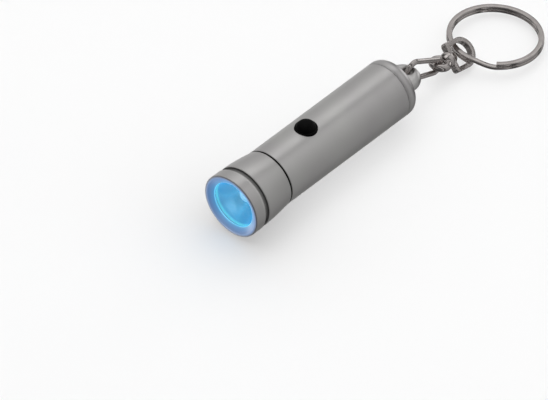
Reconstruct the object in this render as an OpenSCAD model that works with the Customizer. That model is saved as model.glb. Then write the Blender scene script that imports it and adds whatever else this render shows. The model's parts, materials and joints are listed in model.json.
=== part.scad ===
// Keychain flashlight: a slim metal torch with a screw-off head, a press button
// on its side, a tail lug, and a link, swivel and split ring to carry it by.
// Millimetres. The torch's axis is X: the lamp faces -X and the key ring is at +X.
// +Z is the side that the button is on. The origin is on that axis, in the middle of
// the bezel's outer band.

/* [Body] */
// Outer diameter of the tube
body_d = 16; // [15.8:0.1:16.4]
// Length of the torch from the bezel's face to the end of the tail cap
body_len = 62; // [61:0.5:64]
// Radius of the tail cap's rounded edge
tail_round = 2.5; // [1:0.1:3]
// Distance from the bezel's face to the button's axis
button_at = 28; // [27.6:0.1:28.4]

/* [Head] */
// Outer diameter of the bezel
bezel_d = 17.85; // [17.7:0.05:18]
// Length of the bezel
bezel_len = 3.3; // [3.2:0.05:3.4]
// Inner diameter of the bezel's lip in front of the lens
window_d = 12.9; // [12.6:0.1:13]
// Width of the groove between the bezel and the head
groove_w = 1.5; // [1.4:0.1:1.6]
// Outer diameter of the head behind the groove
head_d = 17.6; // [17.4:0.05:17.7]
// Distance from the bezel's face to the back of the head
head_len = 13.8; // [13.7:0.1:13.9]

/* [Button] */
// Diameter of the button's collar, which runs in the hole in the tube
button_d = 5.9; // [5.8:0.02:6]
// Diameter of the button's dome
dome_d = 5.1; // [4.9:0.1:5.3]
// Height of the dome above the tube
dome_h = 1.75; // [1.4:0.05:2]

/* [Lug and link] */
// Overall diameter of the tail lug's rounded disc
lug_d = 9.4; // [9.2:0.1:9.6]
// Thickness of the lug
lug_t = 3.6; // [3.4:0.1:3.6]
// Diameter of the hole in the lug
lug_hole_d = 2.6; // [2.6:0.1:2.8]
// Diameter of the link's wire
link_wire_d = 1.44; // [1.3:0.02:1.46]
// Distance between the centres of the link's round ends
link_l = 9; // [8.9:0.1:9.4]
// How far the link slopes down from the lug, in degrees
link_pitch = 26.2; // [24:0.1:26.2]

/* [Swivel and ring] */
// Outer width of the swivel's bracket
bracket_w = 8.3; // [8.2:0.1:8.4]
// Length of the bracket from its base to its round end
bracket_l = 8.7; // [8.6:0.1:8.8]
// Outer diameter of the split ring
ring_d = 25; // [24.8:0.1:25.2]
// Thickness of one of the split ring's two coils
coil_t = 0.93; // [0.8:0.01:0.95]

/* [Hidden] */
$fn = 72;

metal = [0.64, 0.63, 0.62];
nickel = [0.55, 0.52, 0.5];
brass = [0.8, 0.65, 0.3];
steel = [0.75, 0.75, 0.76];
board_green = [0.1, 0.35, 0.2];
black = [0.04, 0.04, 0.04];

face_x = -1.95;                           // plane of the bezel's front face
body_r = body_d / 2;
bore_r = body_r - 0.9;                    // inside of the tube
fit = 0.02;                               // gap between pieces pressed or glued together

// Bezel, lens and reflector
bezel_r = bezel_d / 2;
window_r = window_d / 2;
bezel_edge_r = 0.6;
lip_slope_w = 1.65;                       // the sloping part of the bezel's face
lens_front = 1.2;
lens_t = 1;
lens_r = 7.1;
nose_r = 8.05;                            // the head's nose inside the bezel
nose_front = 2.4;
groove_r = 8.15;
reflector_r = 6.9;
reflector_end = 9.3;
reflector_hole_r = 2.75;
reflector_wall = 0.5;
reflector_front = lens_front + lens_t + 0.05;
reflector_depth = reflector_end - 0.5 - reflector_front;

// Threaded joint between the head and the tube
seal_w = 0.45;
sleeve_front = 9.7;
sleeve_end = 18.5;
sleeve_bore_r = 5.6;
thread_r = 6.6;
thread_gap = 0.08;
key_w = 1.2;                              // tab that keeps the lamp's board from turning
tube_front = head_len + seal_w + 0.03;

// Lamp on its board
led_r = 2.5;
led_flange_r = 2.9;
led_tip = 5;
board_front = 13.5;
board_t = 1;
board_r = 5.3;
lead_pitch = 2.54;
lead_r = 0.25;
spring_seat = 21.1;                       // front of the plate that the lamp's spring stands on
plate_t = 0.4;

// Switch
button_r = button_d / 2;
button_hole_r = button_r + 0.05;
pcb_bottom = 0.45;
pcb_t = 0.8;
switch_w = 6;
switch_top = 4.45;
plunger_r = 1.72;
plunger_top = 5;
plunger_foot_r = 2.1;
plunger_foot = 3.15;                      // height of the plunger's foot, which stands on the snap dome
plunger_foot_t = 0.5;
button_flange_r = 3.5;
button_flange_t = 0.9;

// Batteries: three button cells in a row
cell_r = 5.8;
cell_l = 5.4;
cell_pitch = 5.45;
cells_front = 34.9;
holder_r = bore_r - 0.12;
bay_r = 5.9;
bay_front = 34.4;
holder_front = spring_seat + plate_t;
holder_end = 53.8;
cap_front = body_len - 3.9;
cap_bore_r = 6.2;
cap_floor = body_len - 2;

// Chain. Each piece is drawn flat in its own frame and then placed.
lug_x = at(body_len + 2.3);               // centre of the lug's disc
hole_x = lug_x + 2;
wire_r = link_wire_d / 2;
link_big_r = 2.6;                         // centreline radius of the link's end in the lug
link_small_r = 1.9;                       // centreline radius of its end in the eye
link_x = hole_x + 2.2;
eye_ring_r = 2.05;
eye_tube_r = 1;
swivel_tilt = 12;                         // how far the swivel's axis slopes down
eye_pos = [link_x + link_l * cos(link_pitch) + eye_ring_r * cos(swivel_tilt), 0,
           -link_l * sin(link_pitch) - eye_ring_r * sin(swivel_tilt)];
bracket_roll = 44;
strip_w = 2;
strip_t = 1.3;
bracket_x = 3.45;                         // front of the bracket's base, from the eye's centre
shank_r = 0.9;
shank_head_r = 1.5;
shank_head_h = 0.7;
ring_pos = [95.65, -1.75, -6.89];
ring_tilt = 5;
coil_w = 1.5;
coil_gap = 0.04;
kink_start = 191;                         // where the coils change places, in degrees round the ring
kink_angle = 32;

function at(s) = face_x + s;              // X of a point that is s behind the bezel's face
function arc(c, r, a0, a1, n) = [for (i = [0:n]) c + r * [cos(a0 + (a1 - a0) * i / n),
                                                           sin(a0 + (a1 - a0) * i / n)]];
function smooth(u) = u * u * (3 - 2 * u);

// A piece turned about the torch's axis. Its outline is a list of [radius, distance behind the face].
module turned(outline) {
  translate([face_x, 0, 0]) rotate([0, 90, 0]) rotate_extrude() polygon(outline);
}

// A tube swept through a list of rings of points that run round the Z axis
function ring_faces(count, rings, sides) = [for (i = [0:count - 1], j = [0:sides - 1])
  let (k = (i + 1) % rings, n = (j + 1) % sides)
  [i * sides + j, i * sides + n, k * sides + n, k * sides + j]];
module swept(sections, closed = false) {
  sides = len(sections[0]);
  rings = len(sections);
  ends = [[for (j = [sides - 1:-1:0]) j], [for (j = [0:sides - 1]) (rings - 1) * sides + j]];
  polyhedron([for (s = sections, p = s) p],
             closed ? ring_faces(rings, rings, sides) : concat(ring_faces(rings - 1, rings, sides), ends),
             convexity = 8);
}

// A compression spring from z = 0 to z = length, with a closed coil at each end
function spring_z(u, turns, length, r) =
  let (dead = 1 / turns, free = length - 2 * r * 2.1 - 2 * r)
  r + (u < dead ? u / dead * 2.1 * r
       : u > 1 - dead ? length - 2 * r - (1 - u) / dead * 2.1 * r
       : 2.1 * r + (u - dead) / (1 - 2 * dead) * free);
module coil_spring(r0, r1, length, turns, r) {
  steps = turns * 20;
  swept([for (i = [0:steps]) let (u = i / steps, a = 360 * turns * u, rm = r0 + (r1 - r0) * u)
    [for (j = [0:7]) let (x = rm + r * cos(45 * j))
      [x * cos(a), x * sin(a), spring_z(u, turns, length, r) + r * sin(45 * j)]]]);
}

// ---- Head ----

module bezel_ring() {
  color(metal) turned(concat(
    [[window_r, lens_front - 0.05], [window_r, 0.9], [window_r + lip_slope_w, 0.12],
     [window_r + lip_slope_w + 0.05, 0]],
    arc([bezel_r - bezel_edge_r, bezel_edge_r], bezel_edge_r, -90, 0, 6),
    [[bezel_r, bezel_len - 0.15], [bezel_r - 0.15, bezel_len], [nose_r + fit, bezel_len],
     [nose_r + fit, nose_front - fit], [lens_r + 0.05, nose_front - fit],
     [lens_r + 0.05, lens_front - 0.05]]));
}

module lens() {
  color([0.5, 0.8, 0.95, 0.5]) turned([[0, lens_front], [lens_r - 0.2, lens_front], [lens_r, lens_front + 0.2],
                                      [lens_r, lens_front + lens_t], [0, lens_front + lens_t]]);
}

// The reflector is a paraboloid: the square of its radius falls evenly towards the lamp.
function dish_r(u) = sqrt(pow(reflector_hole_r, 2) + (1 - u) * (pow(window_r, 2) - pow(reflector_hole_r, 2)));
module reflector() {
  dish = [for (i = [0:14]) [dish_r(i / 14), reflector_front + reflector_depth * i / 14]];
  back = [for (i = [14:-1:2]) [dish_r(i / 14) + reflector_wall, reflector_front + reflector_depth * i / 14]];
  rim_back = reflector_front + reflector_depth * 2 / 14;
  color([0.7, 0.85, 0.95]) turned(concat(
    dish, [[reflector_hole_r, reflector_end], [reflector_hole_r + reflector_wall, reflector_end]], back,
    [[reflector_r, rim_back], [reflector_r, reflector_front]]));
}

module head_shell() {
  groove_end = bezel_len + groove_w;
  head_r = head_d / 2;
  flare = [for (i = [0:12]) let (u = i / 12)
    [body_r + (head_r - body_r) * cos(90 * u), groove_end + 0.15 + (head_len - groove_end - 0.15) * u]];
  color(metal) turned(concat(
    [[reflector_r + 0.05, nose_front], [nose_r, nose_front], [nose_r, bezel_len], [groove_r, bezel_len],
     [groove_r, groove_end], [head_r - 0.1, groove_end]],
    flare,
    [[thread_r + thread_gap, head_len], [thread_r + thread_gap, sleeve_front - 0.3],
     [reflector_r + 0.05, sleeve_front - 0.3]]));
}

// ---- Lamp ----

module led() {
  color([0.8, 0.9, 1, 0.7]) turned(concat(
    arc([0, led_tip + led_r], led_r, -90, 0, 10),
    [[led_r, board_front - 1], [led_flange_r, board_front - 1], [led_flange_r, board_front], [0, board_front]]));
}

module led_leads() {
  color(steel) for (side = [-1, 1])
    translate([at(board_front), side * lead_pitch / 2, 0]) rotate([0, 90, 0]) cylinder(r = lead_r, h = board_t + 0.7);
}

module led_board() {
  color(board_green) difference() {
    union() {
      turned([[0, board_front], [board_r, board_front], [board_r, board_front + board_t],
              [0, board_front + board_t]]);
      translate([at(board_front), -key_w / 2, -board_r - 0.5]) cube([board_t, key_w, 2]);
    }
    for (side = [-1, 1])
      translate([at(board_front) - 1, side * lead_pitch / 2, 0])
        rotate([0, 90, 0]) cylinder(r = lead_r + 0.04, h = board_t + 2);
  }
}

module resistor() {
  color([0.15, 0.15, 0.17]) translate([at(board_front + board_t), 3.2, -0.9]) cube([0.6, 1.1, 1.8]);
}

module front_spring() {
  length = spring_seat - board_front - board_t - 0.1;
  color(steel) translate([at(board_front + board_t) + 0.05, 0, 0]) rotate([0, 90, 0])
    coil_spring(2.3, 2.3, length, 5, 0.28);
}

module spring_plate() {
  color(brass) turned([[0, spring_seat], [3.2, spring_seat], [3.2, spring_seat + plate_t - fit],
                       [0, spring_seat + plate_t - fit]]);
}

// ---- Tube and screw joint ----

module threaded_sleeve() {
  color(metal) difference() {
    turned([[sleeve_bore_r, sleeve_front], [thread_r - 0.3, sleeve_front], [thread_r, sleeve_front + 0.3],
            [thread_r, tube_front + fit], [bore_r - fit, tube_front + fit], [bore_r - fit, sleeve_end],
            [sleeve_bore_r, sleeve_end]]);
    translate([at(sleeve_front) - 1, -key_w / 2 - 0.15, -sleeve_bore_r - 0.45])
      cube([sleeve_end - sleeve_front + 2, key_w + 0.3, 3]);
  }
}

module head_seal() {
  color(black) turned([[thread_r + 0.05, tube_front - seal_w - 0.01], [body_r - 0.03, tube_front - seal_w - 0.01],
                       [body_r - 0.03, tube_front - 0.01], [thread_r + 0.05, tube_front - 0.01]]);
}

module tube() {
  color(metal) difference() {
    turned([[bore_r, tube_front], [body_r - 0.1, tube_front], [body_r, tube_front + 0.1],
            [body_r, cap_front - 0.12], [body_r - 0.1, cap_front - fit], [bore_r, cap_front - fit]]);
    translate([at(button_at), 0, 0]) cylinder(r = button_hole_r, h = body_r + 1);
  }
}

// ---- Button and switch ----

module button() {
  flange_top = plunger_top + button_flange_t;
  dome_r = dome_d / 2;
  collar_top = body_r + 0.1;
  dome = [for (i = [0:9]) let (a = i * 10) [dome_r * pow(cos(a), 0.8), collar_top + (dome_h - 0.1) * sin(a)]];
  color(black) translate([at(button_at), 0, 0]) rotate_extrude() polygon(concat(
    [[0, plunger_top], [button_flange_r, plunger_top], [button_flange_r, flange_top], [button_r, flange_top],
     [button_r, collar_top - 0.1], [button_r - 0.1, collar_top]],
    dome));
}

module switch_plunger() {
  color([0.1, 0.1, 0.1]) translate([at(button_at), 0, 0]) rotate_extrude()
    polygon([[0, plunger_foot], [plunger_foot_r, plunger_foot], [plunger_foot_r, plunger_foot + plunger_foot_t],
             [plunger_r, plunger_foot + plunger_foot_t], [plunger_r, plunger_top], [0, plunger_top]]);
}

module switch_housing() {
  base = pcb_bottom + pcb_t;
  floor_t = 0.7;
  well_top = plunger_foot + plunger_foot_t + 0.07;
  color([0.2, 0.2, 0.22]) difference() {
    translate([at(button_at) - switch_w / 2, -switch_w / 2, base]) cube([switch_w, switch_w, switch_top - base]);
    translate([at(button_at), 0, base + floor_t])
      cylinder(r = plunger_foot_r + 0.2, h = well_top - base - floor_t);
    translate([at(button_at), 0, base + 1]) cylinder(r = plunger_r + 0.08, h = switch_top);
  }
}

// A thin snap dome: a cap of a sphere
module switch_dome() {
  rim = pcb_bottom + pcb_t + 0.82;
  rise = 0.45;
  half = 2.15;
  r = (half * half + rise * rise) / (2 * rise);
  a = asin(half / r);
  color(steel) translate([at(button_at), 0, 0]) rotate_extrude() polygon(concat(
    arc([0, rim + rise - r], r, 90 - a, 90, 8),
    arc([0, rim + rise - r], r - 0.1, 90, 90 - a, 8)));
}

module switch_board() {
  color(board_green) translate([at(22.6), -6.2, pcb_bottom]) cube([10.2, 12.4, pcb_t]);
}

// ---- Battery ----

// A moulded cradle under the switch, and behind it a round bay for the cells
module battery_holder() {
  color([0.85, 0.85, 0.83]) union() {
    turned([[0, holder_front], [holder_r, holder_front], [holder_r, holder_front + 1], [0, holder_front + 1]]);
    difference() {
      turned([[bay_r, holder_front + 0.5], [holder_r, holder_front + 0.5], [holder_r, bay_front - 0.5],
              [bay_r, bay_front - 0.5]]);
      translate([at(holder_front + 1), -10, pcb_bottom - 0.02])
        cube([bay_front - holder_front - 2.2, 20, 10]);
    }
    turned([[1.05, bay_front - 1.2], [holder_r, bay_front - 1.2], [holder_r, holder_end], [bay_r, holder_end],
            [bay_r, bay_front], [1.05, bay_front]]);
  }
}

module battery_contact() {
  color(brass) turned([[0, bay_front - 1.5], [2, bay_front - 1.5], [2, bay_front - 1.22], [1, bay_front - 1.22],
                       [1, bay_front + 0.02], [2.6, bay_front + 0.02], [2.2, bay_front + 0.48],
                       [0, bay_front + 0.48]]);
}

// A button cell: a can with a smaller positive face and a seal step at its other end
module cell(i) {
  front = cells_front + i * cell_pitch;
  color(steel) turned([[0, front], [cell_r - 0.3, front], [cell_r, front + 0.3], [cell_r, front + cell_l - 0.7],
                       [cell_r - 0.8, front + cell_l - 0.5], [cell_r - 1, front + cell_l],
                       [0, front + cell_l]]);
}
module cell_1() { cell(0); }
module cell_2() { cell(1); }
module cell_3() { cell(2); }

module tail_spring() {
  start = cells_front + 2 * cell_pitch + cell_l + 0.05;
  color(steel) translate([at(start), 0, 0]) rotate([0, 90, 0])
    coil_spring(3.2, 5.4, cap_floor - start - 0.02, 5, 0.35);
}

// ---- Tail cap ----

module lug() {
  edge_r = lug_t / 2;
  core_r = lug_d / 2 - edge_r;
  translate([lug_x, 0, 0]) rotate_extrude() union() {
    translate([0, -edge_r]) square([core_r, lug_t]);
    intersection() {
      translate([core_r, 0]) circle(r = edge_r);
      translate([0, -edge_r]) square([lug_d, lug_t]);
    }
  }
}

module tail_cap() {
  chamfer = 0.4;
  color(metal) difference() {
    union() {
      turned(concat(
        [[0, cap_floor], [cap_bore_r, cap_floor], [cap_bore_r, holder_end + 0.2], [bore_r - fit, holder_end + 0.2],
         [bore_r - fit, cap_front + 0.02], [body_r - 0.1, cap_front + 0.02], [body_r, cap_front + 0.12]],
        arc([body_r - tail_round, body_len - tail_round], tail_round, 0, 90, 8),
        [[0, body_len]]));
      intersection() {
        lug();
        translate([at(cap_floor) + 0.5, -10, -10]) cube(20);
      }
    }
    translate([hole_x, 0, -lug_t]) cylinder(d = lug_hole_d, h = 2 * lug_t);
    for (side = [0, 1]) mirror([0, 0, side])
      translate([hole_x, 0, lug_t / 2 - chamfer])
        cylinder(r1 = lug_hole_d / 2, r2 = lug_hole_d / 2 + chamfer + 0.1, h = chamfer + 0.1);
  }
}

// ---- Link, swivel and ring ----

// An oval link that tapers: a closed loop of wire round two arcs, with straight sides between them
module chain_link() {
  lean = asin((link_big_r - link_small_r) / link_l);
  sides = 16;
  stations = concat(
    [for (i = [0:16]) [0, link_big_r, 90 - lean + (180 + 2 * lean) * i / 16]],
    [for (i = [0:12]) [link_l, link_small_r, lean - 90 + (180 - 2 * lean) * i / 12]]);
  color(nickel) translate([link_x, 0, 0]) rotate([0, link_pitch, 0]) rotate([90, 0, 0])
    swept([for (s = stations) [for (j = [0:sides - 1])
      let (r = s[1] + wire_r * cos(360 * j / sides))
      [s[0] + r * cos(s[2]), r * sin(s[2]), wire_r * sin(360 * j / sides)]]], closed = true);
}

// The eye is a round loop with a shoulder and a shank, headed over inside the bracket.
module swivel_eye() {
  head_x = bracket_x + strip_t + 0.06;
  color(nickel) translate(eye_pos) rotate([0, swivel_tilt, 0]) union() {
    rotate_extrude() translate([eye_ring_r, 0]) circle(r = eye_tube_r, $fn = 40);
    rotate([0, 90, 0]) rotate_extrude() polygon(concat(
      [[0, 1.35], [1.3, 1.35], [1.95, 2.1], [2.2, 2.9], [2.1, bracket_x - 0.06], [shank_r, bracket_x - 0.06],
       [shank_r, head_x]],
      [for (i = [0:6]) [shank_head_r * cos(15 * i), head_x + shank_head_h * sin(15 * i)]]));
  }
}

// The bracket is a strip bent into a D, with a hole in its flat base for the shank.
module swivel_bracket() {
  outer = bracket_w / 2;
  inner = outer - strip_t;
  corner = 1;
  round_x = bracket_x + bracket_l - outer;
  color(nickel) translate(eye_pos) rotate([0, swivel_tilt, 0]) rotate([bracket_roll, 0, 0]) difference() {
    translate([0, 0, -strip_w / 2]) linear_extrude(strip_w) difference() {
      union() {
        translate([round_x, 0]) circle(r = outer);
        translate([bracket_x, -outer + corner]) square([round_x - bracket_x, bracket_w - 2 * corner]);
        translate([bracket_x + corner, -outer]) square([round_x - bracket_x - corner, bracket_w]);
        for (side = [-1, 1])
          translate([bracket_x + corner, side * (outer - corner)]) circle(r = corner, $fn = 32);
      }
      translate([round_x, 0]) circle(r = inner);
      translate([bracket_x + strip_t, -inner]) square([round_x - bracket_x - strip_t, 2 * inner]);
    }
    rotate([0, 90, 0]) cylinder(r = shank_r + 0.05, h = bracket_x + strip_t + 1);
  }
}

// A flat wire wound twice round. The coils change places at the kink, and each end stops beside it.
function coil_z(a) =
  let (half = (coil_t + coil_gap) / 2, u = (a - 360 + kink_angle) / kink_angle)
  a < 360 - kink_angle ? half : a > 360 ? -half : half - 2 * half * smooth(u);
module split_ring() {
  rm = (ring_d - coil_w) / 2;
  turn = 720 - kink_angle;
  step = 5;
  edge = 0.22;
  section = [[-coil_w / 2, -coil_t / 2 + edge], [-coil_w / 2 + edge, -coil_t / 2], [coil_w / 2 - edge, -coil_t / 2],
             [coil_w / 2, -coil_t / 2 + edge], [coil_w / 2, coil_t / 2 - edge], [coil_w / 2 - edge, coil_t / 2],
             [-coil_w / 2 + edge, coil_t / 2], [-coil_w / 2, coil_t / 2 - edge]];
  color(nickel) translate(ring_pos) rotate([0, ring_tilt, 0]) rotate([0, 0, kink_start + kink_angle])
    swept([for (a = [0:step:turn])
      [for (p = section) [(rm + p.x) * cos(a), (rm + p.x) * sin(a), coil_z(a) + p.y]]]);
}

bezel_ring();
lens();
reflector();
head_shell();
led();
led_leads();
led_board();
resistor();
front_spring();
spring_plate();
threaded_sleeve();
head_seal();
tube();
button();
switch_plunger();
switch_housing();
switch_dome();
switch_board();
battery_holder();
battery_contact();
cell_1();
cell_2();
cell_3();
tail_spring();
tail_cap();
chain_link();
swivel_eye();
swivel_bracket();
split_ring();
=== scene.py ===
import json
import math

import bmesh
import bpy
from mathutils import Matrix, Vector


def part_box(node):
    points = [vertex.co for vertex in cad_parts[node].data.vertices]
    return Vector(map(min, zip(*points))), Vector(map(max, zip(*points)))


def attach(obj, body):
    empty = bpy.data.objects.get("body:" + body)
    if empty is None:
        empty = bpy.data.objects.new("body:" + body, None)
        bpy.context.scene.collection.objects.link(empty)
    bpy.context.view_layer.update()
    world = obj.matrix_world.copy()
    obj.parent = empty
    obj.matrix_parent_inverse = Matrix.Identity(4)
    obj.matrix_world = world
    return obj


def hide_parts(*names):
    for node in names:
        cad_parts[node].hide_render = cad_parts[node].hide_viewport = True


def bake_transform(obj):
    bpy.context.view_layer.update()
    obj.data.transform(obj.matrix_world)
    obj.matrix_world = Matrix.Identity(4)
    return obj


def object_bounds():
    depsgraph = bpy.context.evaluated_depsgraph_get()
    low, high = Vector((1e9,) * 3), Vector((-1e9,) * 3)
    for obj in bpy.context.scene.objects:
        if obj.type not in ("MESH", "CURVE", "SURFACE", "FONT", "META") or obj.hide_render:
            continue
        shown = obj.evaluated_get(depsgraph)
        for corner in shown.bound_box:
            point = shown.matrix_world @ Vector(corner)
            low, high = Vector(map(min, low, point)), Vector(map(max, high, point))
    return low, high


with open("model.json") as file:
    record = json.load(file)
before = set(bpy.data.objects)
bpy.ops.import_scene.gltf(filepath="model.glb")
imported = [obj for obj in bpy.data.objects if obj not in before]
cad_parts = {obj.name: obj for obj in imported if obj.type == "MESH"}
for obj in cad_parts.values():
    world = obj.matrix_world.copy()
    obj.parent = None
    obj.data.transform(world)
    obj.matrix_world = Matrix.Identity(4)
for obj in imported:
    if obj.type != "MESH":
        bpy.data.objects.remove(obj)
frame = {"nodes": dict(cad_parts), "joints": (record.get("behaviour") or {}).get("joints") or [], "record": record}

CAD_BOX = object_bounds()

# Lengths are in millimetres until place() turns them into metres.
MM = 0.001
JOINTS = {joint["name"]: joint for joint in frame["joints"]}
MOUNTS = {mount["name"]: mount for mount in frame["record"]["mounts"]}


def millimetres(point):
    return Vector(point) / MM


def span(node):
    """Lowest and highest corner of a CAD node in millimetres."""
    low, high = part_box(node)
    return low / MM, high / MM


FACE = span("bezel_ring")[0].x               # plane of the bezel's front face


def depth(node):
    """How far a CAD node's front and back lie behind the bezel's face."""
    low, high = span(node)
    return low.x - FACE, high.x - FACE


# ---- Sizes that several pieces share ----

body_r = span("tube")[1].z
bezel_r = -span("bezel_ring")[0].z
bezel_len = depth("bezel_ring")[1]
head_r = -span("head_shell")[0].z
head_len = depth("head_shell")[1]
tube_front, tube_back = depth("tube")
body_len = 62.0
bore_r = 7.1
window_r = 6.45
groove_r = 8.15
groove_w = 1.5
lens_r = span("lens")[1].z
lens_front, lens_back = depth("lens")
nose_r = 8.05
nose_front = depth("head_shell")[0]
reflector_rim_r = -span("reflector")[0].z
reflector_front, reflector_back = depth("reflector")
reflector_hole_r = 2.75
thread_r = 6.6
thread_pitch = 0.8
button_flange_r = 3.5
button_x = span("button")[0].x + button_flange_r
button_hole_r = 3.0

link_start = millimetres(JOINTS["link_swing"]["pos_m"])
eye_centre = millimetres(JOINTS["eye_swing"]["pos_m"])
swivel_axis = Vector(JOINTS["bracket_swivel"]["axis"]).normalized()
ring_centre = millimetres(MOUNTS["key_ring"]["pos_m"])
ring_axis = Vector(MOUNTS["key_ring"]["axis"]).normalized()
eye_ring_r = 2.05
eye_tube_r = 1.0
shank_r = 0.9
base_x = 3.45                                # outside of the bracket's base, from the eye's centre
strip_t = 1.3
bracket_roll = 44                            # degrees
wire_r = span("chain_link")[1].y


# ---- Frames that pieces are drawn in ----

def axes(origin, x, y, z):
    """A frame with that origin and those axes."""
    return Matrix.Translation(Vector(origin)) @ Matrix((x, y, z)).transposed().to_4x4()


X, Y, Z = Vector((1, 0, 0)), Vector((0, 1, 0)), Vector((0, 0, 1))
TORCH = axes((FACE, 0, 0), Y, Z, X)                       # Z runs back along the torch from its face
BUTTON = axes((button_x, 0, 0), X, Y, Z)
SWIVEL = axes(eye_centre, swivel_axis, Y, swivel_axis.cross(Y))
BRACKET = SWIVEL @ Matrix.Rotation(math.radians(bracket_roll), 4, "X")
RING = axes(ring_centre, Y.cross(ring_axis), Y, ring_axis)


# ---- Outlines ----

def rounded(corners, steps=4):
    """An outline with its corners rounded. A corner is (across, along), or with how much to round it."""
    points = []
    for i, corner in enumerate(corners):
        here = Vector(corner[:2])
        if len(corner) < 3:
            points.append(here)
            continue
        before = Vector(corners[i - 1][:2]) - here
        after = Vector(corners[(i + 1) % len(corners)][:2]) - here
        reach = min(corner[2], before.length * 0.48, after.length * 0.48)
        start = here + before.normalized() * reach
        end = here + after.normalized() * reach
        for k in range(steps + 1):
            t = k / steps
            points.append(start * (1 - t) ** 2 + here * 2 * t * (1 - t) + end * t * t)
    return points


def rounded_bar(width, height, rounding):
    """The outline of a rectangle about the origin, with its corners rounded."""
    x, y = width / 2, height / 2
    return rounded([(-x, -y, rounding), (x, -y, rounding), (x, y, rounding), (-x, y, rounding)])


def arc(centre, radius, first, last, steps):
    """Points on an arc, in degrees."""
    angles = [math.radians(first + (last - first) * i / steps) for i in range(steps + 1)]
    return [(centre[0] + radius * math.cos(a), centre[1] + radius * math.sin(a)) for a in angles]


def ease(t):
    return t * t * (3 - 2 * t)


# ---- Meshes ----

def turn(outline, sides=144):
    """Vertices and faces of an outline (radius, height) turned about Z. Points at radius 0 become poles."""
    vertices, rings = [], []
    for radius, height in outline:
        if radius < 1e-6:
            rings.append([len(vertices)] * sides)
            vertices.append(Vector((0, 0, height)))
            continue
        rings.append(list(range(len(vertices), len(vertices) + sides)))
        for i in range(sides):
            a = 2 * math.pi * i / sides
            vertices.append(Vector((radius * math.cos(a), radius * math.sin(a), height)))
    faces = []
    for k, ring in enumerate(rings):
        following = rings[(k + 1) % len(rings)]
        for i in range(sides):
            j = (i + 1) % sides
            corners = list(dict.fromkeys([ring[i], ring[j], following[j], following[i]]))
            if len(corners) > 2:
                faces.append(corners)
    return vertices, faces


def wire_section(across, a, wire, sides, centre=0, height=0):
    """A ring of points round a wire that runs about Z at angle a, across from the centre."""
    section = []
    for j in range(sides):
        b = 2 * math.pi * j / sides
        reach = across + wire * math.cos(b)
        section.append((centre + reach * math.cos(a), reach * math.sin(a), height + wire * math.sin(b)))
    return section


def sweep(sections, closed=False):
    """Vertices and faces of a tube through a list of equal rings of points."""
    sides, count = len(sections[0]), len(sections)
    vertices = [Vector(p) for section in sections for p in section]
    faces = []
    for k in range(count if closed else count - 1):
        here, there = k * sides, (k + 1) % count * sides
        for i in range(sides):
            j = (i + 1) % sides
            faces.append((here + i, here + j, there + j, there + i))
    if not closed:
        faces.append(tuple(range(sides)))
        faces.append(tuple((count - 1) * sides + i for i in range(sides)))
    return vertices, faces


def place(name, shape, where):
    """A mesh object made from vertices and faces, drawn in the frame where, with its normals outward."""
    vertices, faces = shape
    mesh = bpy.data.meshes.new(name)
    mesh.from_pydata([(where @ v) * MM for v in vertices], [], faces)
    built = bmesh.new()
    built.from_mesh(mesh)
    bmesh.ops.recalc_face_normals(built, faces=built.faces)
    built.to_mesh(mesh)
    built.free()
    piece = bpy.data.objects.new(name, mesh)
    bpy.context.scene.collection.objects.link(piece)
    return piece


def bake_modifiers(piece):
    """Replaces the piece's mesh by what its modifiers make of it."""
    depsgraph = bpy.context.evaluated_depsgraph_get()
    mesh = bpy.data.meshes.new_from_object(piece.evaluated_get(depsgraph))
    piece.modifiers.clear()
    piece.data = mesh


def combine(piece, tool, operation):
    """Joins a tool to the piece, or cuts it out of the piece, and throws the tool away."""
    modifier = piece.modifiers.new("combine", "BOOLEAN")
    modifier.operation = operation
    modifier.solver = "EXACT"
    modifier.object = tool
    bake_modifiers(piece)
    bpy.data.objects.remove(tool)


def melt(piece, voxel, passes):
    """Makes one skin of a piece's overlapping solids, with its inner corners softened as in a casting."""
    remesh = piece.modifiers.new("skin", "REMESH")
    remesh.mode = "VOXEL"
    remesh.voxel_size = voxel * MM
    smooth = piece.modifiers.new("soften", "SMOOTH")
    smooth.factor = 0.5
    smooth.iterations = passes
    bake_modifiers(piece)


def finish_piece(piece, material, body, nodes, sharp=35):
    """Shades a piece, gives it its material and hands it to its CAD body in place of these nodes."""
    piece.data.shade_smooth()
    piece.data.set_sharp_from_angle(angle=math.radians(sharp))
    weighted = piece.modifiers.new("normals", "WEIGHTED_NORMAL")
    weighted.keep_sharp = True
    piece.data.materials.clear()
    piece.data.materials.append(material)
    if body:
        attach(piece, body)
    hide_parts(*nodes)
    return piece


# ---- Materials ----

def blank(name):
    """A new material, its node tree and its shader."""
    material = bpy.data.materials.new(name)
    material.use_nodes = True
    tree = material.node_tree
    return material, tree, tree.nodes["Principled BSDF"]


def noise(tree, scale, stretch=(1, 1, 1), detail=3.0):
    """Noise over the piece, with scale in features a metre."""
    coordinates = tree.nodes.new("ShaderNodeTexCoord")
    mapping = tree.nodes.new("ShaderNodeMapping")
    mapping.inputs["Scale"].default_value = stretch
    texture = tree.nodes.new("ShaderNodeTexNoise")
    texture.inputs["Scale"].default_value = scale
    texture.inputs["Detail"].default_value = detail
    tree.links.new(coordinates.outputs["Object"], mapping.inputs["Vector"])
    tree.links.new(mapping.outputs["Vector"], texture.inputs["Vector"])
    return texture.outputs["Fac"]


def ranged(tree, source, low, high):
    """The source's middle range spread from low to high."""
    spread = tree.nodes.new("ShaderNodeMapRange")
    spread.inputs["From Min"].default_value = 0.3
    spread.inputs["From Max"].default_value = 0.7
    spread.inputs["To Min"].default_value = low
    spread.inputs["To Max"].default_value = high
    tree.links.new(source, spread.inputs["Value"])
    return spread.outputs["Result"]


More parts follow.
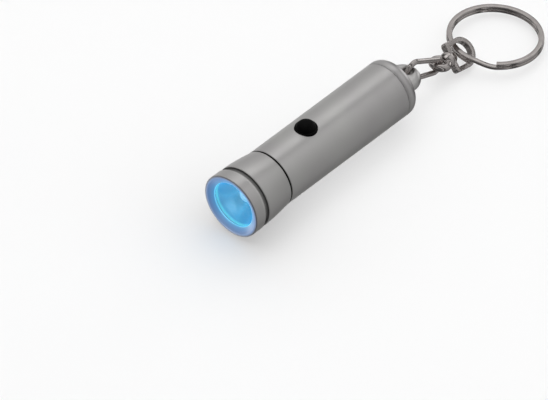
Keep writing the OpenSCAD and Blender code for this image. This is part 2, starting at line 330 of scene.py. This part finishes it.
def shades(tree, source, first, second):
    """A colour between two, led by the source."""
    ramp = tree.nodes.new("ShaderNodeValToRGB")
    ramp.color_ramp.elements[0].position = 0.3
    ramp.color_ramp.elements[0].color = (*first, 1)
    ramp.color_ramp.elements[1].position = 0.7
    ramp.color_ramp.elements[1].color = (*second, 1)
    tree.links.new(source, ramp.inputs["Fac"])
    return ramp.outputs["Color"]


def math_node(tree, operation, *inputs):
    """A maths node on sources or plain numbers."""
    node = tree.nodes.new("ShaderNodeMath")
    node.operation = operation
    for socket, value in zip(node.inputs, inputs):
        if isinstance(value, (int, float)):
            socket.default_value = value
        else:
            tree.links.new(value, socket)
    return node.outputs["Value"]


def ramped(tree, source, low, high, stops):
    """Colours over a source that runs from low to high. Stops are (value, colour)."""
    share = tree.nodes.new("ShaderNodeMapRange")
    share.inputs["From Min"].default_value = low
    share.inputs["From Max"].default_value = high
    tree.links.new(source, share.inputs["Value"])
    ramp = tree.nodes.new("ShaderNodeValToRGB")
    elements = ramp.color_ramp.elements
    while len(elements) < len(stops):
        elements.new(0.5)
    for element, (value, colour) in zip(elements, stops):
        element.position = (value - low) / (high - low)
        element.color = (*colour, 1)
    tree.links.new(share.outputs["Result"], ramp.inputs["Fac"])
    return ramp.outputs["Color"]


def stepped(tree, source, low, high, stops):
    """Grey levels over a source that runs from low to high. Stops are (value, level)."""
    return ramped(tree, source, low, high, [(value, (level, level, level)) for value, level in stops])


def mixed(tree, blend_type, factor, first, second):
    """Two colours mixed. Each input is a source or a plain value."""
    node = tree.nodes.new("ShaderNodeMixRGB")
    node.blend_type = blend_type
    for name, value in (("Fac", factor), ("Color1", first), ("Color2", second)):
        if isinstance(value, (int, float)):
            node.inputs[name].default_value = value
        elif isinstance(value, tuple):
            node.inputs[name].default_value = (*value, 1)
        else:
            tree.links.new(value, node.inputs[name])
    return node.outputs["Color"]


def bumps(tree, shader, heights):
    """Stacks bumps, each a source, a strength and a depth in millimetres."""
    previous = None
    for source, strength, height in heights:
        bump = tree.nodes.new("ShaderNodeBump")
        bump.inputs["Strength"].default_value = strength
        bump.inputs["Distance"].default_value = height * MM
        tree.links.new(source, bump.inputs["Height"])
        if previous:
            tree.links.new(previous, bump.inputs["Normal"])
        previous = bump.outputs["Normal"]
    tree.links.new(previous, shader.inputs["Normal"])


def surface(name, first, second, rough, metallic=0.0, patch=300.0, grain=6000.0, grain_depth=0.01,
            lay=None, lay_depth=0.01):
    """A finish that varies: two shades in patches, roughness between two values, and a fine grain.
    lay stretches a second, lined grain, such as the rings that turning leaves."""
    material, tree, shader = blank(name)
    shader.inputs["Metallic"].default_value = metallic
    patches = noise(tree, patch)
    tree.links.new(shades(tree, patches, first, second), shader.inputs["Base Color"])
    tree.links.new(ranged(tree, noise(tree, patch * 4), *rough), shader.inputs["Roughness"])
    heights = [(noise(tree, grain, detail=2.0), 0.5, grain_depth)]
    if lay:
        heights.append((noise(tree, 1.0, stretch=lay), 0.5, lay_depth))
    bumps(tree, shader, heights)
    return material


def shader_of(material):
    return material.node_tree.nodes["Principled BSDF"]


def from_axis(tree):
    """Distance from the torch's axis, in millimetres."""
    coordinates = tree.nodes.new("ShaderNodeTexCoord")
    flat = tree.nodes.new("ShaderNodeVectorMath")
    flat.operation = "MULTIPLY"
    flat.inputs[1].default_value = (0, 1 / MM, 1 / MM)
    length = tree.nodes.new("ShaderNodeVectorMath")
    length.operation = "LENGTH"
    tree.links.new(coordinates.outputs["Object"], flat.inputs[0])
    tree.links.new(flat.outputs["Vector"], length.inputs[0])
    return length.outputs["Value"]


def behind_face(tree):
    """Distance behind the bezel's face, in millimetres."""
    coordinates = tree.nodes.new("ShaderNodeTexCoord")
    split = tree.nodes.new("ShaderNodeSeparateXYZ")
    tree.links.new(coordinates.outputs["Object"], split.inputs["Vector"])
    return math_node(tree, "SUBTRACT", math_node(tree, "DIVIDE", split.outputs["X"], MM), FACE)


def by_radius(tree, stops, outer):
    """Colours over the distance from the torch's axis. Stops are (radius, colour)."""
    return ramped(tree, from_axis(tree), 0, outer, stops)


def satin_lacquer(name):
    """Satin silver lacquer: a metallic coat with fine flakes, over faint turning rings."""
    return surface(
        name, (0.60, 0.585, 0.585), (0.66, 0.655, 0.64), (0.33, 0.40), metallic=1.0, patch=90.0,
        grain=9000.0, grain_depth=0.004, lay=(5000, 60, 60), lay_depth=0.003)


def lit_satin():
    """The bezel's lacquer, with the lamp's light on its face and, brighter, on the edge of its window."""
    material = satin_lacquer("lit_satin")
    tree, shader = material.node_tree, shader_of(material)
    light = by_radius(tree, [
        (window_r, (0.10, 0.50, 0.80)),
        (6.6, (0.04, 0.24, 0.50)),
        (7.6, (0.06, 0.17, 0.38)),
        (8.35, (0.07, 0.15, 0.32)),
        (8.8, (0.0, 0.0, 0.0))], 9.0)
    front = stepped(tree, behind_face(tree), 0, 3, [(1.3, 1), (1.6, 0)])
    tree.links.new(mixed(tree, "MULTIPLY", 1, light, front), shader.inputs["Emission Color"])
    shader.inputs["Emission Strength"].default_value = 1.0
    return material


def shaded_recess():
    """The groove's lacquer, with painted shade darkening it towards its back."""
    material = surface(
        "shaded_recess", (0.60, 0.59, 0.58), (0.66, 0.65, 0.64), (0.4, 0.5), patch=200.0, grain=9000.0,
        grain_depth=0.004)
    tree, shader = material.node_tree, shader_of(material)
    end = bezel_len + groove_w
    # Painted shade: grey levels that fall from the groove's front to its back.
    shade = stepped(tree, behind_face(tree), bezel_len - 1, end + 1, [
        (bezel_len + 0.1, 1.0), (bezel_len + 0.6, 0.8), (bezel_len + 0.85, 0.25), (end, 0.12)])
    plain = shader.inputs["Base Color"].links[0].from_socket
    tree.links.new(mixed(tree, "MULTIPLY", 1, plain, shade), shader.inputs["Base Color"])
    return material


def polished_nickel():
    return surface(
        "nickel", (0.50, 0.465, 0.45), (0.60, 0.56, 0.545), (0.13, 0.22), metallic=1.0, patch=500.0,
        grain=5000.0, grain_depth=0.006)


def struck_nickel():
    """The bracket's strip, with the fine lines that drawing it leaves."""
    return surface(
        "nickel_strip", (0.52, 0.485, 0.47), (0.64, 0.60, 0.585), (0.20, 0.30), metallic=1.0, patch=500.0,
        grain=5000.0, grain_depth=0.006, lay=(300, 6000, 6000), lay_depth=0.02)


def black_rubber():
    material = surface(
        "black_rubber", (0.001, 0.001, 0.001), (0.002, 0.002, 0.002), (0.45, 0.6), patch=800.0,
        grain=12000.0, grain_depth=0.006)
    shader_of(material).inputs["Specular IOR Level"].default_value = 0.06
    return material


def moulded(name, first, second, rough=(0.45, 0.6)):
    return surface(name, first, second, rough, patch=250.0, grain=9000.0, grain_depth=0.01)


def turned_metal():
    return surface(
        "turned_metal", (0.62, 0.62, 0.62), (0.72, 0.72, 0.71), (0.22, 0.32), metallic=1.0, patch=200.0,
        grain=7000.0, grain_depth=0.004, lay=(9000, 40, 40), lay_depth=0.006)


def drawn_steel():
    return surface(
        "drawn_steel", (0.62, 0.62, 0.63), (0.74, 0.74, 0.75), (0.2, 0.32), metallic=1.0, patch=400.0,
        grain=8000.0, grain_depth=0.005)


def stamped_brass():
    return surface(
        "stamped_brass", (0.66, 0.48, 0.20), (0.80, 0.62, 0.30), (0.25, 0.38), metallic=1.0, patch=400.0,
        grain=6000.0, grain_depth=0.006)


def circuit_board():
    """Green solder mask with the faint lines of the copper below it."""
    return surface(
        "circuit_board", (0.01, 0.09, 0.035), (0.02, 0.15, 0.06), (0.3, 0.42), patch=700.0,
        grain=9000.0, grain_depth=0.005, lay=(900, 900, 900), lay_depth=0.02)


def clear_plastic():
    material, tree, shader = blank("clear_plastic")
    shader.inputs["Transmission Weight"].default_value = 1.0
    shader.inputs["IOR"].default_value = 1.49
    shader.inputs["Base Color"].default_value = (0.86, 0.96, 1.0, 1)
    tree.links.new(ranged(tree, noise(tree, 900.0), 0.0, 0.03), shader.inputs["Roughness"])
    return material


def lit_reflector():
    """Bright plated dish, filled with the lamp's blue light. Its lip shines most."""
    material = surface(
        "lit_reflector", (0.15, 0.34, 0.42), (0.24, 0.44, 0.52), (0.12, 0.2), metallic=1.0, patch=300.0,
        grain=4000.0, grain_depth=0.004)
    tree, shader = material.node_tree, shader_of(material)
    glow = by_radius(tree, [
        (2.0, (0.10, 0.50, 0.82)),
        (4.0, (0.05, 0.42, 0.74)),
        (6.25, (0.02, 0.34, 0.68)),
        (6.35, (0.20, 0.85, 1.0)),
        (6.9, (0.20, 0.85, 1.0))], 7.0)
    tree.links.new(glow, shader.inputs["Emission Color"])
    shader.inputs["Emission Strength"].default_value = 0.6
    return material


def lit_led():
    material = surface(
        "lit_led", (0.70, 0.90, 1.0), (0.80, 0.95, 1.0), (0.05, 0.12), patch=300.0, grain=4000.0,
        grain_depth=0.003)
    shader = shader_of(material)
    shader.inputs["Emission Color"].default_value = (0.10, 0.48, 0.80, 1)
    shader.inputs["Emission Strength"].default_value = 0.6
    return material


# ---- Head ----

def bezel(material):
    slope_r = window_r + 1.65
    nose_hole_r, nose_stop = nose_r + 0.02, nose_front - 0.02
    lens_hole_r, lens_stop = lens_r + 0.05, lens_front - 0.05
    outline = rounded([
        (window_r, lens_stop), (window_r, 0.9, 0.06), (slope_r, 0.14, 0.1), (slope_r + 0.08, 0),
        (bezel_r, 0, 0.7), (bezel_r, bezel_len, 0.14), (nose_hole_r, bezel_len), (nose_hole_r, nose_stop),
        (lens_hole_r, nose_stop), (lens_hole_r, lens_stop)], steps=6)
    ring = place("bezel_ring_turned", turn(outline), TORCH)
    return finish_piece(ring, material, "head", ["bezel_ring"])


def lens(material):
    outline = rounded([(0, lens_front), (lens_r, lens_front, 0.2), (lens_r, lens_back, 0.1), (0, lens_back)])
    disc = place("lens_disc", turn(outline), TORCH)
    return finish_piece(disc, material, "head", ["lens"])


def reflector(material):
    """A paraboloid: the square of the radius falls evenly towards the lamp."""
    steps, rim_step, wall = 28, 4, 0.5
    bottom = reflector_back - 0.5

    def dish(t):
        square = reflector_hole_r ** 2 + (1 - t) * (window_r ** 2 - reflector_hole_r ** 2)
        return math.sqrt(square), reflector_front + (bottom - reflector_front) * t

    inside = [dish(i / steps) for i in range(steps + 1)]
    outside = [(r + wall, s) for r, s in inside[rim_step:]]
    rim_back = inside[rim_step][1]
    outline = inside + [(reflector_hole_r, reflector_back), (reflector_hole_r + wall, reflector_back)]
    outline += outside[::-1] + [(reflector_rim_r, rim_back), (reflector_rim_r, reflector_front)]
    bowl = place("reflector_dish", turn(outline), TORCH)
    return finish_piece(bowl, material, "head", ["reflector"])


def head_shell(material, recess):
    groove_end = bezel_len + groove_w
    bore = thread_r + 0.08
    recess_r, recess_end = reflector_rim_r + 0.05, 9.4    # where the reflector sits
    flare_start, flare_steps = groove_end + 0.15, 20
    flare = []
    for i in range(flare_steps):
        t = i / flare_steps
        flare.append((body_r + (head_r - body_r) * math.cos(math.pi / 2 * t),
                      flare_start + (head_len - flare_start) * t))
    outline = rounded(
        [(recess_r, nose_front), (nose_r, nose_front, 0.1), (nose_r, bezel_len),
         (groove_r, bezel_len), (groove_r, groove_end, 0.1), (head_r - 0.12, groove_end, 0.06)]
        + flare
        + [(body_r, head_len, 0.06), (bore, head_len, 0.1), (bore, recess_end), (recess_r, recess_end)])
    shell = place("head_shell_turned", turn(outline), TORCH)
    finish_piece(shell, material, "head", ["head_shell"])
    # The groove's faces take the recess material, whose darkening is painted shade.
    shell.data.materials.append(recess)
    for face in shell.data.polygons:
        middle = face.center / MM
        in_groove = bezel_len - 0.1 < middle.x - FACE < groove_end + 0.02
        if in_groove and math.hypot(middle.y, middle.z) > nose_r:
            face.material_index = 1
    return shell


# ---- Lamp ----

def led(material):
    led_r, flange_r = 2.5, span("led")[1].y
    tip, back = depth("led")
    outline = arc((0, tip + led_r), led_r, -90, 0, 16)
    outline += [(led_r, back - 1.05), (flange_r, back - 1), (flange_r, back), (0, back)]
    bulb = place("led_bulb", turn(outline, sides=64), TORCH)
    return finish_piece(bulb, material, "lamp", ["led"])


def spring_height(t, turns, length, wire):
    """How far along a spring its wire is at share t, with a closed coil at each end."""
    dead = 1 / turns
    closed_rise = 2.1 * wire
    free = length - 2 * closed_rise - 2 * wire
    if t < dead:
        return wire + t / dead * closed_rise
    if t > 1 - dead:
        return length - wire - (1 - t) / dead * closed_rise
    return wire + closed_rise + (t - dead) / (1 - 2 * dead) * free


def coil_spring(name, node, first_r, last_r, turns, wire, material, body=None):
    front, back = depth(node)
    length = back - front
    steps, sides = turns * 36, 12
    sections = []
    for i in range(steps + 1):
        t = i / steps
        a = 2 * math.pi * turns * t
        middle = first_r + (last_r - first_r) * t
        height = spring_height(t, turns, length, wire)
        sections.append(wire_section(middle, a, wire, sides, height=height))
    where = axes((FACE + front, 0, 0), Y, Z, X)
    return finish_piece(place(name, sweep(sections), where), material, body, [node])


# ---- Tube and screw joint ----

def threaded_sleeve(material):
    """The sleeve that the head screws onto, with a real thread on its front part."""
    front, back = depth("threaded_sleeve")
    bore, step_r = 5.6, bore_r - 0.02
    thread_depth = 0.32
    around, rows = 96, 60
    thread_end = depth("head_seal")[0]
    sections = []
    for k in range(rows + 1):
        s = front + 0.05 + (thread_end - front - 0.05) * k / rows
        ends = ease(max(0.0, min(1.0, (s - front) / 0.5, (thread_end - s) / 0.6)))
        ring = []
        for i in range(around):
            a = 2 * math.pi * i / around
            turn_share = ((s - front) / thread_pitch - i / around) % 1.0
            valley = 1 - abs(2 * turn_share - 1)
            radius = thread_r - thread_depth * (1 - ends) - thread_depth * ends * min(1.0, 1.3 * valley)
            ring.append((radius * math.cos(a), radius * math.sin(a), s))
        sections.append(ring)

    def ring_at(radius, s):
        return [(radius * math.cos(2 * math.pi * i / around), radius * math.sin(2 * math.pi * i / around), s)
                for i in range(around)]

    root = thread_r - thread_depth
    sections = [ring_at(bore, front), ring_at(root - 0.1, front)] + sections
    shoulder = tube_front + 0.02
    behind_thread = [(root, thread_end + 0.05), (root, thread_end + 0.1), (thread_r, thread_end + 0.1),
                     (thread_r, shoulder), (step_r, shoulder), (step_r, back), (bore, back)]
    sections += [ring_at(radius, s) for radius, s in behind_thread]
    sleeve = place("threaded_sleeve_turned", sweep(sections, closed=True), TORCH)
    return finish_piece(sleeve, material, "torch", ["threaded_sleeve"])


def head_seal(material):
    front, back = depth("head_seal")
    outer = -span("head_seal")[0].z
    outline = rounded([(thread_r + 0.05, front, 0.1), (outer, front, 0.12), (outer, back, 0.12),
                       (thread_r + 0.05, back, 0.1)])
    seal = place("head_seal_ring", turn(outline), TORCH)
    return finish_piece(seal, material, "torch", ["head_seal"])


def tube(material):
    """A grid round the axis, with a patch of spokes round the button that joins it to the hole's rim."""
    around, half = 144, 12                                # half is the patch's half width, in cells
    button_s = button_x - FACE
    cell = 2 * math.pi * body_r / around
    patch = [button_s + cell * (k - half) for k in range(2 * half + 1)]
    ahead, behind = [tube_front + 0.1, 20.0], [45.0, tube_back - 0.12]
    lines = ahead + patch + behind                        # where the grid's rings lie
    first_patch = len(ahead)
    vertices, faces = [], []

    def ring(radius, s):
        start = len(vertices)
        for i in range(around):
            a = 2 * math.pi * i / around
            vertices.append(Vector((-radius * math.sin(a), radius * math.cos(a), s)))
        return start

    def join(first, second, skip=lambda i: False):
        for i in range(around):
            if not skip(i):
                j = (i + 1) % around
                faces.append((first + i, first + j, second + j, second + i))

    def in_patch(i):
        return i < half or i >= around - half

    def skin(radius):
        rows = [ring(radius, s) for s in lines]
        for k in range(len(rows) - 1):
            inside = first_patch <= k < first_patch + 2 * half
            join(rows[k], rows[k + 1], skip=in_patch if inside else lambda i: False)
        return rows

    def border(rows):
        """The patch's edge, as vertex numbers in order."""
        columns = [(i - half) % around for i in range(2 * half + 1)]
        bottom, top = rows[first_patch], rows[first_patch + 2 * half]
        edge = [bottom + c for c in columns[:-1]]
        edge += [rows[first_patch + k] + columns[-1] for k in range(2 * half)]
        edge += [top + c for c in columns[:0:-1]]
        edge += [rows[first_patch + 2 * half - k] + columns[0] for k in range(2 * half)]
        return edge

    def on_skin(across, along, radius):
        return Vector((across, math.sqrt(max(radius ** 2 - across ** 2, 0)), along))

    def spokes(rows, radius, hole_radii):
        """Rings from the patch's edge in to the hole. Returns the last ring."""
        edge = border(rows)
        previous = edge
        steps = 4
        for k in range(1, steps + len(hole_radii)):
            current = []
            for v in edge:
                from_button = Vector((vertices[v].x, vertices[v].z - button_s))
                direction = from_button.normalized()
                outer = from_button.length
                if k < steps:
                    reach = outer + (hole_radii[0] + 0.25 - outer) * k / (steps - 0.5)
                    reach = max(reach, hole_radii[0] + 0.05)
                else:
                    reach = hole_radii[k - steps]
                current.append(len(vertices))
                vertices.append(on_skin(direction.x * reach, button_s + direction.y * reach, radius))
            count = len(current)
            for i in range(count):
                j = (i + 1) % count
                faces.append((previous[i], previous[j], current[j], current[i]))
            previous = current
        return previous

    outer_rows = skin(body_r)
    inner_rows = skin(bore_r)
    rim = spokes(outer_rows, body_r, [button_hole_r + 0.12, button_hole_r + 0.06])
    inner_rim = spokes(inner_rows, bore_r, [button_hole_r + 0.1, button_hole_r])
    bead = []
    for v in rim:
        point = vertices[v]
        direction = Vector((point.x, point.z - button_s)).normalized()
        bead.append(len(vertices))
        vertices.append(Vector((direction.x * button_hole_r, point.y - 0.07,
                                button_s + direction.y * button_hole_r)))
    for first, second in ((rim, bead), (bead, inner_rim)):
        for i in range(len(first)):
            j = (i + 1) % len(first)
            faces.append((first[i], first[j], second[j], second[i]))
    front, back = ring(body_r - 0.1, tube_front), ring(body_r - 0.1, tube_back)
    inner_front, inner_back = ring(bore_r, tube_front), ring(bore_r, tube_back)
    for first, second in ((front, outer_rows[0]), (outer_rows[-1], back), (back, inner_back),
                          (inner_back, inner_rows[-1]), (inner_rows[0], inner_front), (inner_front, front)):
        join(first, second)
    drawn = place("tube_drawn", (vertices, faces), TORCH)
    return finish_piece(drawn, material, "torch", ["tube"])


# ---- Button ----

def button(material):
    base, top = span("button")[0].z, span("button")[1].z
    flange_top = base + 0.9
    collar_r, dome_r = 2.95, 2.55
    collar_top = body_r + 0.1
    dome_h, fullness = top - collar_top, 0.8
    dome = []
    for a in map(math.radians, range(6, 90, 6)):
        dome.append((dome_r * math.cos(a) ** fullness, collar_top + dome_h * math.sin(a)))
    outline = rounded(
        [(0, base), (button_flange_r, base, 0.15), (button_flange_r, flange_top, 0.15),
         (collar_r, flange_top), (collar_r, collar_top, 0.14), (dome_r + 0.12, collar_top - 0.02, 0.05),
         (dome_r, collar_top + 0.06, 0.08)] + dome + [(0, top)])
    cap = place("button_cap", turn(outline, sides=96), BUTTON)
    return finish_piece(cap, material, "push_button", ["button"])


# ---- Battery ----

def button_cell(node, can, gasket):
    """A button cell: its can, the black seal and the smaller lid."""
    front, back = depth(node)
    can_r = span(node)[1].y
    outline = rounded([
        (0, front), (can_r, front, 0.35), (can_r, back - 0.7, 0.1), (can_r - 0.75, back - 0.5, 0.1),
        (can_r - 0.8, back - 0.55), (can_r - 0.95, back - 0.5), (can_r - 1.0, back, 0.25), (0, back)])
    cell = place(node + "_can", turn(outline, sides=96), TORCH)
    finish_piece(cell, can, "torch", [node])
    cell.data.materials.append(gasket)
    for face in cell.data.polygons:
        middle = face.center / MM
        seal = can_r - 0.96 < math.hypot(middle.y, middle.z) < can_r - 0.74
        if seal and middle.x - FACE > back - 0.8:
            face.material_index = 1
    return cell


# ---- Tail cap ----

def tail_cap(material):
    front = depth("tail_cap")[0]
    cap_floor, seam = 60.0, tube_back + 0.02
    cap_bore_r, spigot_r = 6.2, bore_r - 0.02
    tail_round = 2.5
    edge = arc((body_r - tail_round, body_len - tail_round), tail_round, 0, 90, 14)
    outline = rounded([
        (0, cap_floor), (cap_bore_r, cap_floor, 0.2), (cap_bore_r, front, 0.1), (spigot_r, front, 0.15),
        (spigot_r, seam), (body_r - 0.1, seam), (body_r, seam + 0.12)]) + edge + [(0, body_len)]
    cap = place("tail_cap_cast", turn(outline), TORCH)

    lug_r, half_t = 4.7, 1.8
    lug_x = span("tail_cap")[1].x - lug_r
    lug = [(0, -half_t)] + arc((lug_r - half_t, 0), half_t, -90, 90, 16) + [(0, half_t)]
    disc = place("lug_disc", turn(lug, sides=96), axes((lug_x, 0, 0), X, Y, Z))
    combine(cap, disc, "UNION")

    hole_r, flare, beyond = 1.3, 0.5, 2 * half_t
    hole_x = lug_x + 2
    hole = rounded([
        (0, -beyond), (hole_r + 1.2, -beyond), (hole_r + flare, -half_t), (hole_r, -half_t + flare, 0.3),
        (hole_r, half_t - flare, 0.3), (hole_r + flare, half_t), (hole_r + 1.2, beyond), (0, beyond)])
    drill = place("lug_drill", turn(hole, sides=48), axes((hole_x, 0, 0), X, Y, Z))
    combine(cap, drill, "DIFFERENCE")
    return finish_piece(cap, material, "torch", ["tail_cap"], sharp=50)


# ---- Link, swivel and ring ----

def chain_link(material):
    """An oval of wire, wider at the lug than at the eye."""
    big_r, small_r = 2.6, 1.9
    small_end = eye_centre - swivel_axis * eye_ring_r
    along = small_end - link_start
    lean = math.asin((big_r - small_r) / along.length)
    where = axes(link_start, along.normalized(), along.normalized().cross(Y) * -1, Y)
    bends = [
        (0, big_r, math.pi / 2 - lean, math.pi + 2 * lean, 32),
        (along.length, small_r, lean - math.pi / 2, math.pi - 2 * lean, 24)]
    sections = []
    for centre, radius, start, sweep_angle, steps in bends:
        for i in range(steps + 1):
            a = start + sweep_angle * i / steps
            sections.append(wire_section(radius, a, wire_r, 28, centre=centre))
    link = place("chain_link_wire", sweep(sections, closed=True), where)
    return finish_piece(link, material, "link", ["chain_link"])


def swivel_eye(material):
    """A loop, its shoulder and a shank that is headed over inside the bracket, cast in one."""
    rivet_r, rivet_h = 1.5, 0.7
    clearance = 0.06
    shoulder_x, rivet_x = base_x - clearance, base_x + strip_t + clearance
    around = 64
    loop = [wire_section(eye_ring_r, 2 * math.pi * i / around, eye_tube_r, 32) for i in range(around)]
    vertices, faces = sweep(loop, closed=True)
    shank = [(0, 1.35), (1.3, 1.35), (1.95, 2.1), (2.2, 2.9), (2.1, shoulder_x), (shank_r, shoulder_x),
             (shank_r, rivet_x), (rivet_r, rivet_x)]
    shank += [(rivet_r * math.cos(math.radians(a)), rivet_x + rivet_h * math.sin(math.radians(a)))
              for a in range(15, 90, 15)] + [(0, rivet_x + rivet_h)]
    more, more_faces = turn(shank, sides=around)
    turned_along = Matrix(((0, 0, 1), (1, 0, 0), (0, 1, 0)))
    shift = len(vertices)
    vertices += [turned_along @ v for v in more]
    faces += [tuple(shift + i for i in face) for face in more_faces]
    eye = place("swivel_eye_cast", (vertices, faces), SWIVEL)
    melt(eye, 0.07, 6)
    return finish_piece(eye, material, "eye", ["swivel_eye"])


def swivel_bracket(material):
    """A strip bent into a D, with rounded edges and a hole for the shank."""
    strip_w, half_t = 2.0, strip_t / 2
    outer, length, corner = 4.15, 8.7, 1.0
    bow_r, corner_r = outer - half_t, corner - half_t
    bends = [
        (base_x + length - outer, 0, bow_r, range(-90, 91, 6)),
        (base_x + corner, outer - corner, corner_r, range(90, 181, 15)),
        (base_x + corner, corner - outer, corner_r, range(180, 271, 15))]
    profile = rounded_bar(strip_t, strip_w, 0.3)
    sections = []
    for centre_x, centre_y, radius, degrees in bends:
        for a in map(math.radians, degrees):
            x, y = centre_x + radius * math.cos(a), centre_y + radius * math.sin(a)
            sections.append([(x + p.x * math.cos(a), y + p.x * math.sin(a), p.y) for p in profile])
    bracket = place("swivel_bracket_strip", sweep(sections, closed=True), BRACKET)
    hole_r, near, far = shank_r + 0.05, base_x - 1, base_x + 3
    drill = place("bracket_drill", turn([(0, near), (hole_r, near), (hole_r, far), (0, far)], sides=48),
                  BRACKET @ axes((0, 0, 0), Y, Z, X))
    combine(bracket, drill, "DIFFERENCE")
    return finish_piece(bracket, material, "bracket", ["swivel_bracket"])


def split_ring(material):
    """A flat wire wound twice round, whose coils change places at the kink. Each end stops beside it."""
    ring_r, coil_w, coil_t, gap = 12.5, 1.5, 0.93, 0.04
    kink_start, kink_angle = 191, 32
    middle_r = ring_r - coil_w / 2
    level = (coil_t + gap) / 2
    profile = rounded_bar(coil_w, coil_t, 0.42)
    turn_angle = 720 - kink_angle
    count = turn_angle // 2
    sections = []
    for k in range(count + 1):
        degrees = turn_angle * k / count
        share = max(0.0, min(1.0, (degrees - 360 + kink_angle) / kink_angle))
        height = level - 2 * level * ease(share)
        a = math.radians(degrees + kink_start + kink_angle)
        sections.append([((middle_r + p.x) * math.cos(a), (middle_r + p.x) * math.sin(a), height + p.y)
                         for p in profile])
    ring = place("split_ring_wire", sweep(sections), RING)
    return finish_piece(ring, material, "key_ring", ["split_ring"])


def repaint(node, material):
    """Gives a CAD node that is shown as it is a material in place of its plain one."""
    for slot in frame["nodes"][node].material_slots:
        slot.material = material


# ---- The torch ----

satin = satin_lacquer("satin_silver")
nickel = polished_nickel()
rubber = black_rubber()
steel = drawn_steel()
brass = stamped_brass()
black_plastic = moulded("black_plastic", (0.012, 0.012, 0.014), (0.025, 0.025, 0.028))
white_plastic = moulded("white_plastic", (0.70, 0.70, 0.66), (0.80, 0.80, 0.76))
board = circuit_board()

bezel(lit_satin())
lens(clear_plastic())
reflector(lit_reflector())
head_shell(satin, shaded_recess())
led(lit_led())
front_spring = coil_spring("front_spring_wire", "front_spring", 2.3, 2.3, 5, 0.28, steel)
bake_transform(front_spring)
threaded_sleeve(turned_metal())
head_seal(rubber)
tube(satin)
button(rubber)
for cell_node in ("cell_1", "cell_2", "cell_3"):
    button_cell(cell_node, steel, black_plastic)
coil_spring("tail_spring_wire", "tail_spring", 3.2, 5.4, 5, 0.35, steel, "torch")
tail_cap(satin)
chain_link(nickel)
swivel_eye(nickel)
swivel_bracket(struck_nickel())
split_ring(nickel)

for shown, finish in (("led_leads", steel), ("led_board", board), ("resistor", black_plastic),
                      ("spring_plate", brass), ("switch_plunger", black_plastic),
                      ("switch_housing", black_plastic), ("switch_dome", steel), ("switch_board", board),
                      ("battery_holder", white_plastic), ("battery_contact", brass)):
    repaint(shown, finish)


# ---- Floor, light and camera ----

def pale_floor():
    material = surface(
        "pale_floor", (0.86, 0.86, 0.86), (0.88, 0.88, 0.88), (0.8, 0.9), patch=2.0, grain=900.0,
        grain_depth=0.01)
    shader_of(material).inputs["Specular IOR Level"].default_value = 0.1
    return material


def floor():
    level = CAD_BOX[0].z / MM
    half = 1500
    corners = [Vector((x, y, level)) for x, y in ((-half, -half), (half, -half), (half, half), (-half, half))]
    ground = place("floor", (corners, [(0, 1, 2, 3)]), Matrix.Identity(4))
    ground.data.materials.append(pale_floor())
    ground.visible_glossy = False
    return ground


def studio():
    """A soft surround: brightest above and behind the torch, with dark and bright panels across its axis for
    the small polished parts to mirror."""
    world = bpy.data.worlds.new("studio")
    bpy.context.scene.world = world
    world.use_nodes = True
    tree = world.node_tree
    direction = tree.nodes.new("ShaderNodeTexCoord")
    split = tree.nodes.new("ShaderNodeSeparateXYZ")
    tree.links.new(direction.outputs["Generated"], split.inputs["Vector"])
    across = math_node(tree, "MULTIPLY", split.outputs["Y"], -1)
    angle = math_node(tree, "DEGREES", math_node(tree, "ARCTAN2", across, split.outputs["Z"]))
    around = stepped(tree, angle, -180, 180, [
        (-180, 0.20), (-164, 0.30), (-140, 0.85), (-116, 0.62), (-92, 0.45), (-68, 0.47), (-44, 0.55),
        (-22, 0.85), (-8, 0.85), (0, 0.35), (8, 0.35), (16, 0.65), (40, 0.55), (64, 0.46), (88, 0.38),
        (124, 0.33), (148, 0.27), (172, 0.20), (180, 0.20)])
    along = stepped(tree, split.outputs["X"], -1, 1, [
        (-1, 0.25), (-0.4, 0.25), (-0.36, 1.6), (-0.24, 1.6), (-0.2, 0.15), (0.02, 0.15),
        (0.1, 1.0), (0.8, 1.0), (0.84, 0.2), (0.92, 0.2), (0.95, 1.8), (1, 1.8)])
    tree.links.new(mixed(tree, "MULTIPLY", 1, around, along), tree.nodes["Background"].inputs["Color"])
    tree.nodes["Background"].inputs["Strength"].default_value = 1.06


def lamp(name, size, energy, location, target, shadow=True):
    light = bpy.data.lights.new(name, "AREA")
    light.shape = "DISK"
    light.size = size
    light.energy = energy
    light.use_shadow = shadow
    holder = bpy.data.objects.new(name, light)
    bpy.context.scene.collection.objects.link(holder)
    holder.location = location
    holder.rotation_euler = (Vector(target) - Vector(location)).to_track_quat("-Z", "Y").to_euler()
    holder.visible_glossy = False
    return holder


def camera():
    azimuth, elevation = math.radians(-47.6), math.radians(42.85)
    distance, field, sensor = 4.5, 0.1378, 36
    aim = Vector((10.3, -3.5, -3.9)) * MM
    back = Vector((math.sin(azimuth) * math.cos(elevation), -math.cos(azimuth) * math.cos(elevation),
                   math.sin(elevation)))
    data = bpy.data.cameras.new("camera")
    data.sensor_width = sensor
    data.lens = sensor * distance / field
    data.clip_start, data.clip_end = 0.1, 20
    holder = bpy.data.objects.new("camera", data)
    bpy.context.scene.collection.objects.link(holder)
    holder.location = aim + back * distance
    holder.rotation_euler = (-back).to_track_quat("-Z", "Y").to_euler()
    bpy.context.scene.camera = holder


floor()
studio()
lamp("overhead", 1.2, 1.2, (0.1, 0.1, 1.0), (0.03, 0, 0))
lamp("fill", 1.2, 11.2, (0.1, 0.1, 1.0), (0.03, 0, 0), shadow=False)
camera()
bpy.context.scene.view_settings.view_transform = "Standard"
